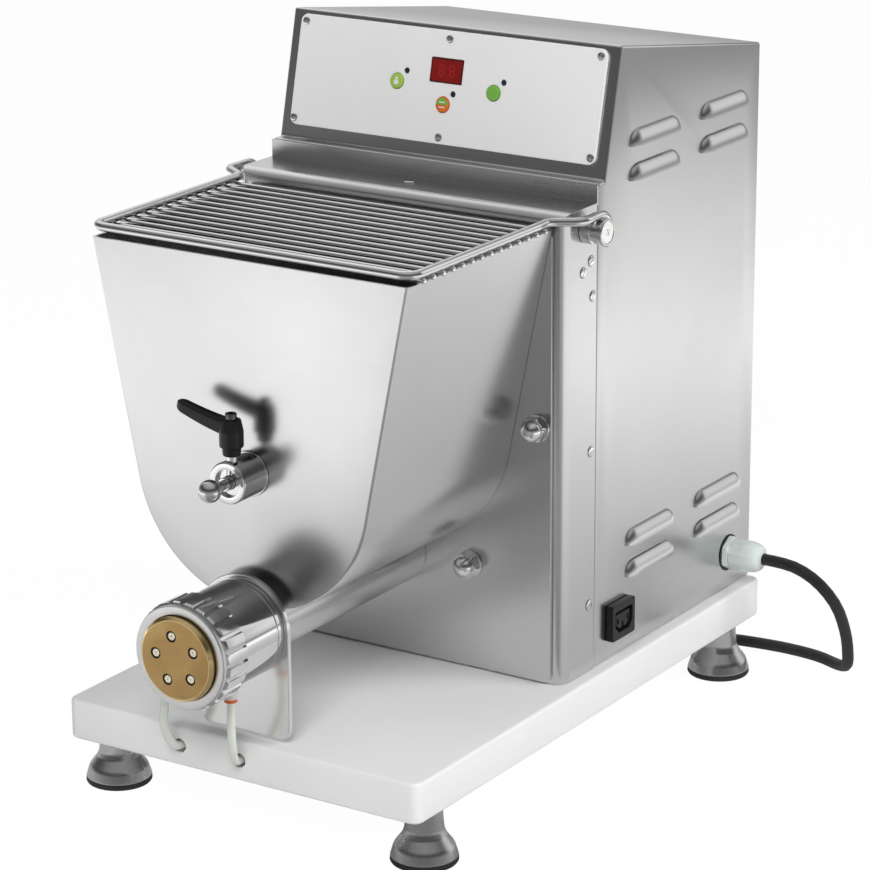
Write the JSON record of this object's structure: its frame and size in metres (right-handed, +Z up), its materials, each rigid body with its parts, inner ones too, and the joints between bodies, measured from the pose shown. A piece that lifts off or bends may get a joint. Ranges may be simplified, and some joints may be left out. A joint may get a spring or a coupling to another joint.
{
  "type": "electric pasta maker",
  "caption": "Countertop pasta extruder with a steel kneading hopper under a wire guard, water-cooled head with bronze die, and a control panel, on a plastic board.",
  "frame": {"origin": "on the surface that the feet stand on, under the middle of the machine's outline without its mains lead", "axes": "+X to the machine's right, -Y to its front where the die is, +Z up"},
  "size_m": [0.397, 0.7198, 0.5262],
  "materials": {
    "satin_steel": "satin",
    "polished_steel": "polished",
    "dark_steel": "machined",
    "cast_metal": "cast",
    "foot_metal": "satin",
    "bronze": "turned",
    "white_board": "matt",
    "pale_panel": "satin",
    "black_plastic": "matt",
    "black_rubber": "matt",
    "display_red": "gloss",
    "button_green": "gloss",
    "button_orange": "gloss",
    "indicator_dark": "gloss",
    "circuit_green": "matt",
    "gland_grey": "satin",
    "hose_milky": "satin",
    "fitting_grey": "satin",
    "insert_cream": "satin"
  },
  "bodies": {
    "machine": {"front_frame": "satin_steel", "cover": "satin_steel", "rear_panel": "satin_steel", "hopper": "satin_steel", "hopper_rear_plate": "satin_steel", "barrel": "satin_steel", "head_bracket": "satin_steel", "head_collar": "polished_steel", "bearing_boss": "polished_steel", "pivot_left": "polished_steel", "pivot_right": "polished_steel", "dome_nut_upper_left": "polished_steel", "dome_nut_upper_right": "polished_steel", "dome_nut_lower_left": "polished_steel", "dome_nut_lower_right": "polished_steel", "gear_case": "cast_metal", "motor": "cast_metal", "foot_front_left": "foot_metal", "foot_front_right": "foot_metal", "foot_rear_left": "foot_metal", "foot_rear_right": "foot_metal", "base_board": "white_board", "control_plate": "pale_panel", "power_outlet": "black_plastic", "lid_switch": "black_plastic", "mains_plug": "black_plastic", "foot_pad_front_left": "black_rubber", "foot_pad_front_right": "black_rubber", "foot_pad_rear_left": "black_rubber", "foot_pad_rear_right": "black_rubber", "mains_lead": "black_rubber", "mains_coil": "black_rubber", "lead_tie": "black_rubber", "display_window": "display_red", "indicator_left": "indicator_dark", "indicator_centre": "indicator_dark", "indicator_right": "indicator_dark", "control_board": "circuit_green", "cable_gland": "gland_grey", "water_hose_left": "hose_milky", "water_hose_right": "hose_milky", "water_fitting_left": "fitting_grey", "water_fitting_right": "fitting_grey", "water_coupling_left": "fitting_grey", "water_coupling_right": "fitting_grey"},
    "guard": {"guard_lid": "polished_steel"},
    "lever": {"clamping_lever": "black_plastic"},
    "pin": {"bearing_pin": "polished_steel"},
    "button_left_body": {"button_left": "button_green"},
    "button_centre_body": {"button_centre": "button_orange"},
    "button_right_body": {"button_right": "button_green"},
    "kneader": {"mixer": "polished_steel", "mixer_gear": "dark_steel"},
    "screw": {"auger": "polished_steel", "auger_gear": "dark_steel"},
    "drive": {"drive_pinion": "dark_steel"},
    "die_set": {"die": "bronze", "die_core": "insert_cream"},
    "nut": {"ring_nut": "polished_steel"}
  },
  "joints": [
    {"name": "guard_hinge", "type": "hinge", "parent": "machine", "child": "guard", "pos_m": [0, 0.0228, 0.4045], "axis": [-1, 0, 0], "range_deg": [0, 90]},
    {"name": "lever_turn", "type": "hinge", "parent": "machine", "child": "lever", "pos_m": [0, -0.2093, 0.29], "axis": [0, 0, 1], "range_deg": [0, 180]},
    {"name": "pin_slide", "type": "slide", "parent": "machine", "child": "pin", "axis": [0, -1, 0], "range_m": [0, 0.03]},
    {"name": "button_left_press", "type": "slide", "parent": "machine", "child": "button_left_body", "axis": [0, 0.9736, -0.2284], "range_m": [0, 0.0008], "stiffness_N_per_m": 800, "springref_m": -0.0015},
    {"name": "button_centre_press", "type": "slide", "parent": "machine", "child": "button_centre_body", "axis": [0, 0.9736, -0.2284], "range_m": [0, 0.0008], "stiffness_N_per_m": 800, "springref_m": -0.0015},
    {"name": "button_right_press", "type": "slide", "parent": "machine", "child": "button_right_body", "axis": [0, 0.9736, -0.2284], "range_m": [0, 0.0008], "stiffness_N_per_m": 800, "springref_m": -0.0015},
    {"name": "mixer_spin", "type": "hinge", "parent": "machine", "child": "kneader", "pos_m": [0, 0, 0.26], "axis": [0, -1, 0], "continuous": true},
    {"name": "auger_spin", "type": "hinge", "parent": "machine", "child": "screw", "pos_m": [0, 0, 0.1525], "axis": [0, -1, 0], "continuous": true},
    {"name": "drive_spin", "type": "hinge", "parent": "machine", "child": "drive", "pos_m": [0, 0, 0.32968], "axis": [0, -1, 0], "continuous": true},
    {"name": "die_travel", "type": "slide", "parent": "machine", "child": "die_set", "axis": [0, -1, 0], "range_m": [0, 0.0151]},
    {"name": "nut_turn", "type": "hinge", "parent": "die_set", "child": "nut", "pos_m": [0, -0.2737, 0.1525], "axis": [0, -1, 0], "range_deg": [0, 1080]}
  ],
  "couplings": [
    {"joint": "auger_spin", "follows": "mixer_spin", "ratio": -0.92857},
    {"joint": "drive_spin", "follows": "mixer_spin", "ratio": -2.8889},
    {"joint": "die_travel", "follows": "nut_turn", "m_per_rad": 0.00079577}
  ]
}
